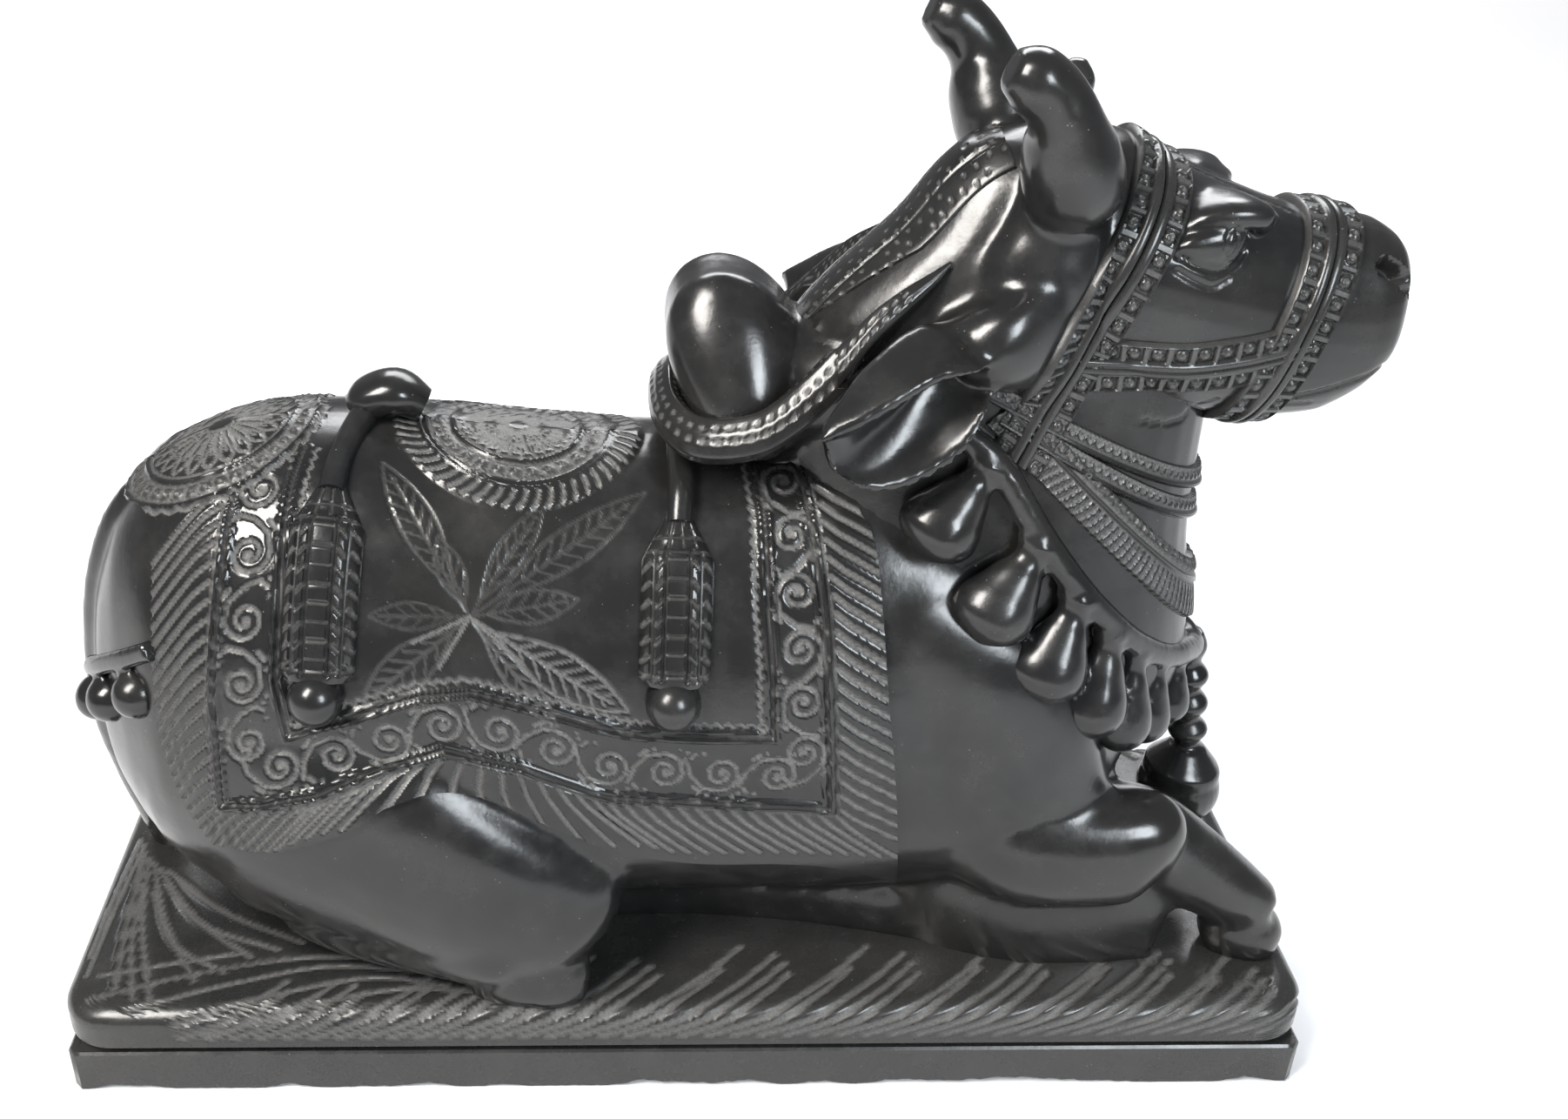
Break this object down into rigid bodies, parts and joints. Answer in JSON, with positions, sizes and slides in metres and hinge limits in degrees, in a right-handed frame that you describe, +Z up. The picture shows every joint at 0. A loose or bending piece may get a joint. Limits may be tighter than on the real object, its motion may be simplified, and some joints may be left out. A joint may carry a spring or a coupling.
{
  "type": "nandi bull figure",
  "caption": "Recumbent humped bull in a saddle cloth, halter, necklaces and bells, carved with its plinth from a block of black stone.",
  "frame": {"origin": "centre of the plinth's underside", "axes": "+X towards the muzzle, +Y towards the bull's left side, +Z up"},
  "size_m": [0.625, 0.2258, 0.4975],
  "materials": {
    "black_stone": "polished on the hide, paler and rougher in the cut carving"
  },
  "bodies": {
    "root": {"nandi_bull": "black_stone"}
  },
  "joints": []
}
